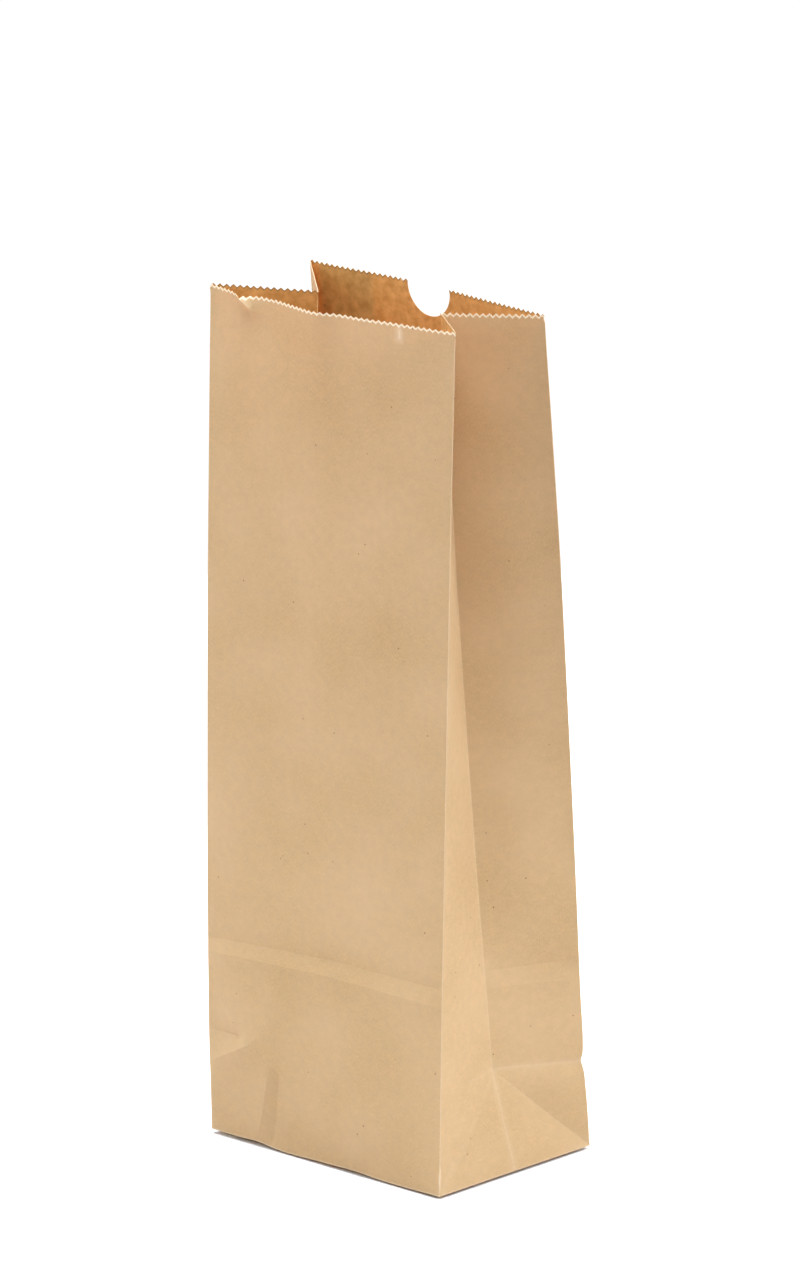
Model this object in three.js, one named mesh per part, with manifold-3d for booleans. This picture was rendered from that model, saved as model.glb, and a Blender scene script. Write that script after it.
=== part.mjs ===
// A brown kraft paper lunch bag: one sheet, folded and glued into a gusseted tube with a flat block
// bottom, and stood open. Millimetres, +Z up. The origin is the middle of the base, on the surface the
// bag stands on. +X runs along the wide panels, and +Y from the front panel to the back panel.
//
// The walls are six strips of paper that run up from the base to the serrated mouth:
//   front panel, right gusset (front half, back half), back panel, left gusset (back half, front half).
// A place on a strip is (u, h): u across the paper, h up the paper from the base fold.
import * as THREE from "three";
import { mergeVertices } from "three/addons/utils/BufferGeometryUtils.js";
import Module from "manifold-3d";

// Driving dimensions
const WIDTH = 120; // front and back panels
const DEPTH = 80; // base, and each gusset opened flat
const HEIGHT = 326; // base fold to the tips of the cut edge, along the paper
const PAPER = 0.12; // one ply of 70 g/m2 kraft

const TOOTH_PITCH = 2.5;
const TOOTH_DEPTH = 1.2;
const THUMB_RADIUS = 11; // thumb cut in the back panel
const THUMB_DROP = 1.5; // its centre, below the cut edge

const SEAM_WIDTH = 25; // glued lengthwise lap, inside the back panel
const SEAM_INSET = 5; // from the back left fold
const FLAP_REACH = 50; // how far each base flap and tuck goes in from its fold

// Seen from above, where the folds stand at the mouth, as the bag has sprung open
const MOUTH = {
  frontLeft: [-61, -28],
  frontRight: [57.5, -20],
  creaseRight: [26.5, 5],
  backRight: [61, 23],
  backLeft: [-58.5, 22],
  creaseLeft: [-29, -4],
};
const FRONT_BOW = 5; // how far each wide panel curves out at the mouth
const BACK_BOW = 6;
const CREASE_INSET = 11.3; // how far the foot of each gusset crease stands in from the side of the base

// How finely the walls are divided
const COLLAR = 20; // band below the cut edge that carries the teeth
const WALL_ROWS = 4;
const WIDE_COLUMNS = [0, 20, 45, 75, 90, 115, WIDTH];
const HALF_GUSSET = DEPTH / 2;
const GUSSET_COLUMNS = [0, 20, HALF_GUSSET];
const ARC_STEPS = 20;

const point = (x, y, z) => new THREE.Vector3(x, y, z);

// ---- Where the folds run ----
const base = {
  frontLeft: point(-WIDTH / 2, -DEPTH / 2, 0),
  frontRight: point(WIDTH / 2, -DEPTH / 2, 0),
  backRight: point(WIDTH / 2, DEPTH / 2, 0),
  backLeft: point(-WIDTH / 2, DEPTH / 2, 0),
};
const apexHeight = Math.sqrt(HALF_GUSSET ** 2 - CREASE_INSET ** 2);
const apexRight = point(WIDTH / 2 - CREASE_INSET, 0, apexHeight);
const apexLeft = point(CREASE_INSET - WIDTH / 2, 0, apexHeight);

// The top of a fold that starts at foot, is length long and ends over [x, y].
function foldTop(foot, [x, y], length) {
  const rise = Math.sqrt(length ** 2 - (x - foot.x) ** 2 - (y - foot.y) ** 2);
  return point(x, y, foot.z + rise);
}

const CREASE_LENGTH = HEIGHT - HALF_GUSSET;
const mouth = {
  frontLeft: foldTop(base.frontLeft, MOUTH.frontLeft, HEIGHT),
  frontRight: foldTop(base.frontRight, MOUTH.frontRight, HEIGHT),
  creaseRight: foldTop(apexRight, MOUTH.creaseRight, CREASE_LENGTH),
  backRight: foldTop(base.backRight, MOUTH.backRight, HEIGHT),
  backLeft: foldTop(base.backLeft, MOUTH.backLeft, HEIGHT),
  creaseLeft: foldTop(apexLeft, MOUTH.creaseLeft, CREASE_LENGTH),
};

// ---- Strips ----
// foot and head are the strip's lower and upper edges, each [start, end], and footHeight gives how far up
// the paper the foot's two ends are. bow is how far the strip curves out at the mouth, along Y.
function strip(foot, head, footHeight, columns, bow = 0, hasThumbCut = false) {
  return { foot, head, footHeight, columns, bow, hasThumbCut, width: columns.at(-1) };
}

const front = strip(
  [base.frontLeft, base.frontRight],
  [mouth.frontLeft, mouth.frontRight],
  [0, 0],
  WIDE_COLUMNS,
  -FRONT_BOW,
);
const rightFront = strip(
  [base.frontRight, apexRight],
  [mouth.frontRight, mouth.creaseRight],
  [0, HALF_GUSSET],
  GUSSET_COLUMNS,
);
const rightBack = strip(
  [apexRight, base.backRight],
  [mouth.creaseRight, mouth.backRight],
  [HALF_GUSSET, 0],
  GUSSET_COLUMNS,
);
const back = strip(
  [base.backRight, base.backLeft],
  [mouth.backRight, mouth.backLeft],
  [0, 0],
  WIDE_COLUMNS,
  BACK_BOW,
  true,
);
const leftBack = strip(
  [base.backLeft, apexLeft],
  [mouth.backLeft, mouth.creaseLeft],
  [0, HALF_GUSSET],
  GUSSET_COLUMNS,
);
const leftFront = strip(
  [apexLeft, base.frontLeft],
  [mouth.creaseLeft, mouth.frontLeft],
  [HALF_GUSSET, 0],
  GUSSET_COLUMNS,
);
const strips = [front, rightFront, rightBack, back, leftBack, leftFront];

const footHeightAt = (s, u) =>
  THREE.MathUtils.lerp(s.footHeight[0], s.footHeight[1], u / s.width);

// The point of the paper's middle surface at (u, h) on a strip.
function placeOn(s, [u, h]) {
  const across = u / s.width;
  const foot = s.foot[0].clone().lerp(s.foot[1], across);
  const head = s.head[0].clone().lerp(s.head[1], across);
  const low = footHeightAt(s, u);
  const place = foot.lerp(head, (h - low) / (HEIGHT - low));
  place.y += s.bow * Math.sin(Math.PI * across) * (h / HEIGHT) ** 2;
  return place;
}

// The cut edge of a strip from one u to another, as [u, h] points: teeth, and the arc of the thumb cut.
function cutEdge(s, from, to) {
  const middle = s.width / 2;
  const halfChord = Math.sqrt(THUMB_RADIUS ** 2 - THUMB_DROP ** 2);
  const inThumbCut = (u) => s.hasThumbCut && Math.abs(u - middle) < halfChord;
  const edge = [];
  for (let u = from; u <= to; u += TOOTH_PITCH / 2) {
    const isTip = Math.round((2 * u) / TOOTH_PITCH) % 2 === 1;
    if (!inThumbCut(u)) edge.push([u, isTip ? HEIGHT : HEIGHT - TOOTH_DEPTH]);
  }
  if (!s.hasThumbCut || from > middle || to < middle) return edge;
  const start = Math.asin(THUMB_DROP / THUMB_RADIUS);
  const arc = [];
  for (let i = 0; i <= ARC_STEPS; i++) {
    const turn = -start + (i / ARC_STEPS) * (Math.PI + 2 * start);
    const u = middle - THUMB_RADIUS * Math.cos(turn);
    arc.push([u, HEIGHT - THUMB_DROP - THUMB_RADIUS * Math.sin(turn)]);
  }
  const before = edge.filter(([u]) => u < middle);
  return [...before, ...arc, ...edge.filter(([u]) => u > middle)];
}

// Triangles of an outline of [x, y] points, each placed in space by place.
function fill(outline, place) {
  const contour = outline.map(([x, y]) => new THREE.Vector2(x, y));
  const faces = THREE.ShapeUtils.triangulateShape(contour, []);
  return faces.map((face) => face.map((i) => place(outline[i])));
}

// The triangles of a strip between two of its columns, facing out of the bag.
function wall(s, from = 0, to = s.width) {
  const place = (uh) => placeOn(s, uh);
  const columns = s.columns.filter((u) => u >= from && u <= to);
  const top = HEIGHT - COLLAR;
  const rowHeight = (u, row) => THREE.MathUtils.lerp(footHeightAt(s, u), top, row / WALL_ROWS);
  const triangles = [];
  for (let i = 1; i < columns.length; i++) {
    const [left, right] = [columns[i - 1], columns[i]];
    for (let row = 0; row < WALL_ROWS; row++) {
      const cell = [
        [left, rowHeight(left, row)],
        [right, rowHeight(right, row)],
        [right, rowHeight(right, row + 1)],
        [left, rowHeight(left, row + 1)],
      ];
      triangles.push(...fill(cell, place));
    }
    const collar = [[left, top], [right, top], ...cutEdge(s, left, right).reverse()];
    triangles.push(...fill(collar, place));
  }
  return triangles;
}

// The upright triangle between the base and the foot of a gusset's crease.
function gussetFoot(frontHalf, backHalf, start, end) {
  const climb = frontHalf.columns.map((u) => placeOn(frontHalf, [u, footHeightAt(frontHalf, u)]));
  const fall = backHalf.columns.map((u) => placeOn(backHalf, [u, footHeightAt(backHalf, u)]));
  const rim = [...climb, ...fall.slice(1)];
  const middle = start.clone().lerp(end, 0.5);
  const triangles = [];
  for (let i = 1; i < rim.length; i++) triangles.push([middle, rim[i], rim[i - 1]]);
  return triangles;
}

// The base as one ply, facing down. Its corners and the wall's columns share their points.
function floorPly() {
  const half = WIDTH / 2;
  const outline = [
    ...WIDE_COLUMNS.map((u) => [u - half, -DEPTH / 2]),
    [half, 0],
    ...WIDE_COLUMNS.map((u) => [half - u, DEPTH / 2]),
    [-half, 0],
  ];
  const facingUp = fill(outline, ([x, y]) => point(x, y, 0));
  return facingUp.map(([a, b, c]) => [a, c, b]);
}

// ---- From a surface to a wall of paper ----
function surface(triangles) {
  const geometry = new THREE.BufferGeometry().setFromPoints(triangles.flat());
  return mergeVertices(geometry, 1e-3);
}

// For each vertex, the step that moves every face around it out by one unit.
function offsets(geometry) {
  const position = geometry.getAttribute("position");
  const normals = Array.from({ length: position.count }, () => []);
  const corner = [point(), point(), point()];
  for (let i = 0; i < geometry.index.count; i += 3) {
    const ids = [0, 1, 2].map((k) => geometry.index.getX(i + k));
    ids.forEach((id, k) => corner[k].fromBufferAttribute(position, id));
    const normal = new THREE.Triangle(...corner).getNormal(point());
    ids.forEach((id) => normals[id].push(normal));
  }
  return normals.map(mitre);
}

// The least-squares step d with n . d = 1 for every normal n. A trace of damping keeps flat places exact.
function mitre(normals) {
  const DAMPING = 1e-4;
  const m = new THREE.Matrix3().set(DAMPING, 0, 0, 0, DAMPING, 0, 0, 0, DAMPING);
  const sum = point(0, 0, 0);
  for (const { x, y, z } of normals) {
    const outer = [x * x, x * y, x * z, x * y, y * y, y * z, x * z, y * z, z * z];
    m.elements = m.elements.map((value, i) => value + outer[i]);
    sum.add(point(x, y, z));
  }
  return sum.applyMatrix3(m.invert());
}

// A closed solid between two offsets of a surface, low and high, with a rim round its open edges.
function thicken(geometry, low, high) {
  const position = geometry.getAttribute("position");
  const steps = offsets(geometry);
  const vertices = [];
  for (const distance of [high, low]) {
    steps.forEach((step, i) => {
      const p = point().fromBufferAttribute(position, i).addScaledVector(step, distance);
      vertices.push(p.x, p.y, p.z);
    });
  }
  const count = position.count;
  const faces = [];
  const edges = new Map();
  for (let i = 0; i < geometry.index.count; i += 3) {
    const [a, b, c] = [0, 1, 2].map((k) => geometry.index.getX(i + k));
    faces.push(a, b, c, count + c, count + b, count + a);
    for (const [from, to] of [[a, b], [b, c], [c, a]]) {
      if (!edges.delete(`${to} ${from}`)) edges.set(`${from} ${to}`, [from, to]);
    }
  }
  for (const [from, to] of edges.values()) {
    faces.push(to, from, count + from, to, count + from, count + to);
  }
  return solid(new Float32Array(vertices), new Uint32Array(faces));
}

// ---- Solids ----
const wasm = await Module();
wasm.setup();

function solid(vertProperties, triVerts) {
  return new wasm.Manifold(new wasm.Mesh({ numProp: 3, vertProperties, triVerts }));
}

// A flat layer of the base: an outline of [x, y] points between two heights.
function plate(outline, bottom, top) {
  const shape = new THREE.Shape(outline.map(([x, y]) => new THREE.Vector2(x, y)));
  const geometry = new THREE.ExtrudeGeometry(shape, { depth: top - bottom, bevelEnabled: false });
  geometry.translate(0, 0, bottom);
  geometry.deleteAttribute("normal");
  geometry.deleteAttribute("uv");
  const merged = mergeVertices(geometry);
  return solid(merged.getAttribute("position").array, new Uint32Array(merged.index.array));
}

// Every layer shares half a ply with the one it is glued to, so that the layers join into one solid.
const LAP = PAPER / 2;
const FLOOR = PAPER * 1.5; // middle of the base's main ply, above the outer flap

function walls() {
  const triangles = [
    ...strips.flatMap((s) => wall(s)),
    ...gussetFoot(rightFront, rightBack, base.frontRight, base.backRight),
    ...gussetFoot(leftBack, leftFront, base.backLeft, base.frontLeft),
    ...floorPly(),
  ];
  return thicken(surface(triangles), -PAPER / 2, PAPER / 2);
}

function lengthwiseSeam() {
  const far = WIDTH - SEAM_INSET;
  const lap = surface(wall(back, far - SEAM_WIDTH, far));
  return thicken(lap, -PAPER * 1.5, -PAPER / 2 + LAP);
}

// The flap folded in from the front last, under the base: its ends slope in at 45 degrees.
function outerFlap() {
  const edge = -DEPTH / 2;
  const outline = [
    [-WIDTH / 2, edge],
    [WIDTH / 2, edge],
    [WIDTH / 2 - FLAP_REACH, edge + FLAP_REACH],
    [FLAP_REACH - WIDTH / 2, edge + FLAP_REACH],
  ];
  return plate(outline, 0, PAPER + LAP);
}

// The gusset paper folded in flat from one side, on top of the base inside the bag.
function tuck(side) {
  const [near, far] = [side * (WIDTH / 2), side * (WIDTH / 2 - FLAP_REACH)];
  const [left, right] = [Math.min(near, far), Math.max(near, far)];
  const edge = DEPTH / 2;
  const outline = [[left, -edge], [right, -edge], [right, edge], [left, edge]];
  return plate(outline, PAPER + LAP, PAPER * 3);
}

const sheet = walls()
  .add(lengthwiseSeam())
  .translate([0, 0, FLOOR])
  .add(outerFlap())
  .add(tuck(1))
  .add(tuck(-1));

function toMesh(made, name, material) {
  const { vertProperties, triVerts } = made.getMesh();
  const geometry = new THREE.BufferGeometry();
  geometry.setAttribute("position", new THREE.BufferAttribute(vertProperties, 3));
  geometry.setIndex(new THREE.BufferAttribute(triVerts, 1));
  geometry.computeVertexNormals();
  const mesh = new THREE.Mesh(geometry, material);
  mesh.name = name;
  return mesh;
}

const kraft = new THREE.MeshStandardMaterial({ color: 0xcfab82, roughness: 0.9, metalness: 0 });

const bag = new THREE.Group();
bag.add(toMesh(sheet, "paper_bag", kraft));

export default bag;
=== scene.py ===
# %% [markdown]
# # A brown paper lunch bag
# The bag is one sheet of kraft paper. A machine folds it into a tube with a gusset in each side, glues the
# long edges over each other, tears the tube off on a saw blade and folds one end shut. Someone then opens
# it and stands it up, and the paper keeps every fold it ever had. This lesson goes the same way: a flat
# sheet, its cuts, its folds, its creases, its thickness, and last the paper itself.

# %% Load the frame
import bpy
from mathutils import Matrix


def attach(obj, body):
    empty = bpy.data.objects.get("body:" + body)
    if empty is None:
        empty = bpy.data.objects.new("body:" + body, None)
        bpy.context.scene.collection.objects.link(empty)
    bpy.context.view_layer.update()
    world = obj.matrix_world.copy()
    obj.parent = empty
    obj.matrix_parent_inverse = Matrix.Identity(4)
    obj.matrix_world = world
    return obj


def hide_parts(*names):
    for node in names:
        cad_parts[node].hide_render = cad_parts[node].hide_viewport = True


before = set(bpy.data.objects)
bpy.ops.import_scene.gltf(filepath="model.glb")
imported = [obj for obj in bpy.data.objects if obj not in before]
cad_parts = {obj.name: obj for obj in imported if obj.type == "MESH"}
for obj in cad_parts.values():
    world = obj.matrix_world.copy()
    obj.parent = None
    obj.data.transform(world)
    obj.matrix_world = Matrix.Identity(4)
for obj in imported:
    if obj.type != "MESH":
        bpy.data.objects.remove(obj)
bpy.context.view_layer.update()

# %% Libraries and units
import math

import bmesh
import bpy
import numpy as np
from mathutils import Matrix, Vector, noise

MM = 0.001

# %% [markdown]
# ## The camera
# The bag is seen from its front right corner, a little from above, through a long lens, so its upright
# folds stay nearly parallel. A camera's matrix has four columns: what is right, up and back for the
# camera, and where it stands. Building it from three angles says exactly how it is aimed.

# %% Camera
CAMERA_TURN = math.radians(45.0855)
CAMERA_RISE = math.radians(15.8423)
CAMERA_TILT = math.radians(-1.2363)
CAMERA_PLACE = (3034.3, -3019.7, 1409.1)  # mm from the middle of the base
LENS, SENSOR = 339.1, 36  # mm
FARTHEST = 50  # metres: nothing beyond this is drawn


def axes_of_camera(turn, rise, tilt):
    back = Vector((math.sin(turn) * math.cos(rise), -math.cos(turn) * math.cos(rise), math.sin(rise)))
    right = Vector((math.cos(turn), math.sin(turn), 0))
    up = back.cross(right)
    right_tilted = right * math.cos(tilt) + up * math.sin(tilt)
    up_tilted = up * math.cos(tilt) - right * math.sin(tilt)
    return right_tilted, up_tilted, back


camera = bpy.data.objects.new("camera", bpy.data.cameras.new("camera"))
bpy.context.collection.objects.link(camera)
aim = Matrix(axes_of_camera(CAMERA_TURN, CAMERA_RISE, CAMERA_TILT)).transposed()
camera.matrix_world = Matrix.Translation(Vector(CAMERA_PLACE) * MM) @ aim.to_4x4()
camera.data.lens = LENS
camera.data.sensor_width = SENSOR
camera.data.clip_end = FARTHEST
bpy.context.scene.camera = camera
print("camera", round((Vector(CAMERA_PLACE) * MM).length, 2), "m away")

# %% [markdown]
# ## The studio
# A white table, a white room and large soft lights. The brightest hangs over the bag, so whatever leans
# back a little looks paler than what hangs straight down: that is how the shallow creases show. The next
# stands behind it on the right and shines through the paper. Three weaker ones fill in from behind, from
# the front and from the left. The table is so bright all round that the bag's shadow is only a thin line
# under its edges.

# %% Helpers for materials


def linear(code):
    """An sRGB hex colour such as "d0ac83" as linear red, green, blue and alpha."""
    shares = [int(code[i : i + 2], 16) / 255 for i in (0, 2, 4)]
    return (*[c / 12.92 if c <= 0.04045 else ((c + 0.055) / 1.055) ** 2.4 for c in shares], 1)


def add_node(tree, kind, links=None, **settings):
    """Adds a node. settings are its properties, or its sockets' values by name; links feed its sockets."""
    node = tree.nodes.new(kind)
    for name, value in settings.items():
        if name.replace("_", " ") in node.inputs:
            node.inputs[name.replace("_", " ")].default_value = value
        else:
            setattr(node, name, value)
    for name, source in (links or {}).items():
        tree.links.new(source, node.inputs[name])
    return node


def new_material(name):
    material = bpy.data.materials.new(name)
    material.use_nodes = True
    material.node_tree.nodes.clear()
    return material, material.node_tree


# %% Table
TABLE_RADIUS = 0.8  # metres
TABLE_DROP = 0.02  # mm: just under the paper, so the two never share a surface
TABLE_CORNERS = 96
TABLE_ROUGHNESS = 0.9  # painted board is matt, so it takes the bag's shadow and mirrors nothing
bpy.ops.object.select_all(action="DESELECT")
bpy.ops.mesh.primitive_circle_add(
    vertices=TABLE_CORNERS, radius=TABLE_RADIUS, fill_type="NGON", location=(0, 0, -TABLE_DROP * MM)
)
bpy.ops.object.transform_apply(location=True, rotation=True, scale=True)
table = bpy.context.object
table.name = "table"
matt_white, board_tree = new_material("matt_white_board")
white = linear("f3f3f3")
board = add_node(board_tree, "ShaderNodeBsdfPrincipled", Roughness=TABLE_ROUGHNESS, Base_Color=white)
add_node(board_tree, "ShaderNodeOutputMaterial", {"Surface": board.outputs[0]})
table.data.materials.append(matt_white)
print("table", 2 * TABLE_RADIUS, "m across")

# %% Room
ROOM_LIGHT = 0.2  # how bright the room is as a light
ROOM_SEEN = 1.05  # how bright it looks to the camera
room = bpy.data.worlds.new("white_room")
bpy.context.scene.world = room
room.use_nodes = True
room_tree = room.node_tree
room_tree.nodes.clear()
ray = add_node(room_tree, "ShaderNodeLightPath")
light = add_node(room_tree, "ShaderNodeBackground", Color=(1, 1, 1, 1), Strength=ROOM_LIGHT)
look = add_node(room_tree, "ShaderNodeBackground", Color=(1, 1, 1, 1), Strength=ROOM_SEEN)
mix = {0: ray.outputs["Is Camera Ray"], 1: light.outputs[0], 2: look.outputs[0]}
walls = add_node(room_tree, "ShaderNodeMixShader", mix)
add_node(room_tree, "ShaderNodeOutputWorld", {"Surface": walls.outputs[0]})
print("room nodes", len(room_tree.nodes))

# %% Lights
BAG_MIDDLE = Vector((0, 0, 0.16))  # metres, as all places and sizes of lights
SOFTBOX = 1.0
DAYLIGHT = (0.95, 1.0, 1.1)
SOFTBOXES = [  # name, place, watts
    ("top_light", (0, 0, 1.3), 33),
    ("window_light", (1.05, 0.75, 1.0), 16.5),
    ("back_light", (0, 1.6, 0.5), 10.5),
    ("front_light", (-0.7, -1.1, 0.95), 9.2),
    ("left_light", (-1.6, 0, 0.55), 5),
]
for name, place, power in SOFTBOXES:
    lamp = bpy.data.lights.new(name, "AREA")
    lamp.size = SOFTBOX
    lamp.energy = power
    lamp.color = DAYLIGHT
    holder = bpy.data.objects.new(name, lamp)
    bpy.context.collection.objects.link(holder)
    holder.location = place
    holder.rotation_euler = (BAG_MIDDLE - Vector(place)).to_track_quat("-Z", "Y").to_euler()
bpy.context.scene.view_settings.view_transform = "Standard"

# %% [markdown]
# ## The sheet, flat
# Paper bends but hardly stretches, so a bag that is drawn as a flat sheet and then folded keeps the right
# lengths everywhere. The sheet stands upright here: its X is the way across the paper and its Z is the
# height above the base fold. Below zero is the paper that becomes the bottom. A grid primitive gives the
# squares, and its UV map runs with the paper, so every pattern later follows the folds.
#
# Across the paper, from the outer glued edge: the lap on the back, the left gusset in two halves, the
# front, the right gusset in two halves, and the back with the inner glued edge.

# %% Sheet sizes
WIDTH, DEPTH, HEIGHT = 120, 80, 326
HALF = DEPTH / 2
FLAP = 50  # how far the paper reaches into the bottom
LAP = 25  # how far the two long edges lie over each other
LAP_INSET = 5  # how far the inner of the two stops short of the fold
PAPER = 0.12
CELL = 2.5  # a grid square, and the width of a tooth
TOOTH = 1.2
GRID_TOP = 325  # a whole number of squares above the base fold
ROW_OVER = GRID_TOP - (HEIGHT - TOOTH)  # how far that stands over the bottoms of the teeth
NEAR = 0.1  # a point this close to an edge of the sheet lies on it
STRIPS = [  # name, start across the sheet, width, how far its start is along the whole panel
    ("back_lap", 0, LAP + LAP_INSET, WIDTH - LAP - LAP_INSET),
    ("left_back", 30, HALF, 0),
    ("left_front", 70, HALF, 0),
    ("front", 110, WIDTH, 0),
    ("right_front", 230, HALF, 0),
    ("right_back", 270, HALF, 0),
    ("back", 310, WIDTH - LAP_INSET, 0),
]
START = {name: start for name, start, width, offset in STRIPS}
SHEET = START["back"] + WIDTH - LAP_INSET
FOLDS = [start for start in START.values() if start > 0]
CREASES_OF_GUSSETS = [START["left_front"], START["right_back"]]

bpy.ops.object.select_all(action="DESELECT")
bpy.ops.mesh.primitive_grid_add(
    x_subdivisions=round(SHEET / CELL),
    y_subdivisions=round((GRID_TOP + FLAP) / CELL),
    size=1,
    location=(SHEET / 2 * MM, 0, (GRID_TOP - FLAP) / 2 * MM),
    rotation=(math.pi / 2, 0, 0),
)
bag = bpy.context.object
bag.name = "kraft_paper_bag"
bag.data.name = "kraft_paper_bag"
bag.scale = (SHEET * MM, (GRID_TOP + FLAP) * MM, 1)
bpy.ops.object.transform_apply(location=True, rotation=True, scale=True)
bag.data.uv_layers[0].name = "sheet"
print("sheet", SHEET, "x", GRID_TOP + FLAP, "mm,", len(bag.data.polygons), "squares")

# %% [markdown]
# ## The saw-toothed ends
# The tube is torn off against a saw blade, so both of its ends have small pointed teeth, one to a grid
# square here. Subdividing the edge squares' outer edges once gives each tooth its tip. No tooth is torn
# quite as long as the next, and handling has blunted those on the front.

# %% Teeth
UNEVEN = 0.15  # half the most that one tooth falls short of another
UNEVEN_SIZE = 1.7  # of the noise, less than a tooth, so that even neighbours differ
BLUNT = 0.2  # how much shorter handling has left the front's teeth


def cut_teeth(height, upward):
    """Turns the sheet's end at this height into saw teeth that point up (+1) or down (-1)."""
    mesh = bmesh.from_edit_mesh(bag.data)
    ends = [vert for vert in mesh.verts if abs(vert.co.z / MM - height) < NEAR]
    for edge in mesh.edges:
        edge.select_set(all(vert in ends for vert in edge.verts))
    bmesh.update_edit_mesh(bag.data)
    bpy.ops.transform.translate(value=(0, 0, -ROW_OVER * upward * MM))
    bpy.ops.mesh.subdivide(number_cuts=1)
    mesh = bmesh.from_edit_mesh(bag.data)
    for vert in mesh.verts:
        vert.select_set(vert.select and round(vert.co.x / MM / (CELL / 2)) % 2 == 1)
    mesh.select_flush_mode()
    bmesh.update_edit_mesh(bag.data)
    bpy.ops.transform.translate(value=(0, 0, TOOTH * upward * MM))
    mesh = bmesh.from_edit_mesh(bag.data)
    for vert in mesh.verts:
        if vert.select:
            on_front = START["front"] < vert.co.x / MM < START["right_front"]
            short = UNEVEN * (1 + noise.noise(vert.co / (UNEVEN_SIZE * MM))) + BLUNT * on_front
            vert.co.z -= short * upward * MM
    bmesh.update_edit_mesh(bag.data)


bpy.ops.object.mode_set(mode="EDIT")
bpy.ops.mesh.select_mode(type="VERT")
bpy.ops.mesh.select_all(action="DESELECT")
cut_teeth(GRID_TOP, 1)
cut_teeth(-FLAP, -1)
print("teeth", round(SHEET / CELL), "at each end")

# %% [markdown]
# ## Every crease the bag has
# A new bag is already creased by the machine: it was packed flat with its bottom folded up against the
# back, so the folded bottom pressed a band into the front and a fold into the back. Opening it and
# standing it up adds dents near the base and a pinch at the mouth. Each crease is written down here as
# someone would draw it on the flat paper, by the strip it is on, across and up.

# %% The list of creases
# strip, start, end, how far its line stands out, how far that spreads to the left and right of the way
# from start to end, and how worn and pale the line is. Millimetres.
SHARP = [
    # the machine's fold where the bottom was folded up, on the right gusset, the back and the left gusset
    ("right_back", (0, 40), (40, 34.7), -0.45, 6, 3, 0.2),
    ("right_front", (24, 38.8), (40, 40), -0.2, 5, 5, 0.1),
    ("back", (0, 35), (60, 36.2), -0.8, 9, 12, 0.4),
    ("back", (60, 36.2), (115, 35.5), -0.7, 9, 12, 0.4),
    ("left_back", (0, 35), (40, 40), -0.7, 8, 10, 0.35),
    # the middle line of each gusset's foot
    ("right_back", (0, 0), (0, 40), 0.0, 1, 1, 0.25),
    ("left_front", (40, 0), (40, 40), 0.0, 1, 1, 0.25),
    # the band that the folded bottom pressed into the front, a groove over a ridge, and into the gusset
    ("front", (0, 76.5), (62, 79.8), -0.75, 6, 4, 0.0),
    ("front", (62, 79.8), (120, 79.4), -0.85, 6, 4, 0.0),
    ("front", (0, 71), (62, 73.6), 0.75, 4, 8, 0.0),
    ("front", (62, 73.6), (120, 72.7), 0.85, 4, 8, 0.0),
    ("right_back", (0, 77), (40, 75), -0.5, 6, 4, 0.0),
    ("right_back", (0, 70.5), (40, 67.5), 0.55, 4, 8, 0.0),
    # the front's lower left corner, which sprang back when the bottom was pushed flat
    ("front", (0, 40.5), (15, 40.5), -1.15, 7, 4, 0.05),
    ("front", (0, 27.3), (22, 38.5), 1.25, 5, 9, 0.05),
    ("front", (22, 38.5), (33, 50), 0.35, 5, 6, 0.0),
    ("front", (25, 0), (31, 27), 0.8, 8, 5, 0.0),
    ("front", (32, 0), (35.5, 30), -1.1, 5, 10, 0.0),
    # the pinch and the nick at the mouth
    ("front", (19.5, 326), (23.5, 322), 0.3, 3, 1.5, 0.35),
    ("front", (95.5, 326), (95.5, 320.5), 0.3, 1.5, 2.5, 1.0),
]
# strip, start, end, how far out, half width: waves with no line.
SOFT = [
    ("front", (33, 32), (34, 66), 0.8, 6),
    ("front", (45, 10), (44, 66), -0.6, 6),
    ("front", (18, 44), (20, 66), 0.5, 8),
    ("front", (26, 46), (27, 66), -0.4, 5),
    ("front", (41, 6), (42, 40), 0.8, 4),
    ("front", (62, 4), (60, 60), 0.4, 9),
    ("front", (78, -4), (77, 26), 0.6, 5),
    ("front", (86, -4), (85, 40), -0.6, 5),
    ("front", (84, 33), (110, 36), 0.35, 4),
    ("front", (104, 8), (102, 60), -0.35, 8),
    ("front", (8, 110), (20, 230), 0.7, 14),
    ("front", (40, 100), (36, 250), -0.6, 16),
    ("front", (72, 90), (66, 220), 0.5, 18),
    ("front", (102, 120), (98, 300), -0.4, 14),
    ("front", (16, 96), (60, 106), 0.4, 9),
    ("right_back", (4, 33.5), (18, 31.5), 0.6, 6),
    ("right_back", (18, 31), (36, 29), 1.0, 6),
    ("right_back", (24, 24), (38, 13), 0.8, 8),
    ("right_back", (12, 90), (14, 150), 0.3, 7),
    ("right_back", (22, 90), (21, 250), 1.1, 13),
    ("right_front", (20, 60), (18, 180), 0.25, 8),
    ("back", (30, 60), (34, 250), 0.8, 16),
    ("back", (66, 50), (60, 210), -0.7, 16),
    ("back", (92, 80), (96, 260), 0.6, 12),
    ("back", (20, 5), (26, 34), -0.5, 8),
    ("back", (74, 4), (70, 33), 0.5, 9),
    ("left_front", (14, 60), (18, 250), -0.4, 9),
    ("left_back", (22, 70), (18, 240), 0.4, 9),
]


def creases_on_sheet():
    """Each sharp crease's start, end and wear on the flat sheet. The lap repeats what the back has."""
    for strip, (u0, h0), (u1, h1), out, left, right, wear in SHARP:
        starts = [START[strip], LAP + LAP_INSET - WIDTH] if strip == "back" else [START[strip]]
        for start in starts:
            yield (start + u0, h0), (start + u1, h1), wear


print(len(SHARP), "sharp creases,", len(SOFT), "soft waves")

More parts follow.
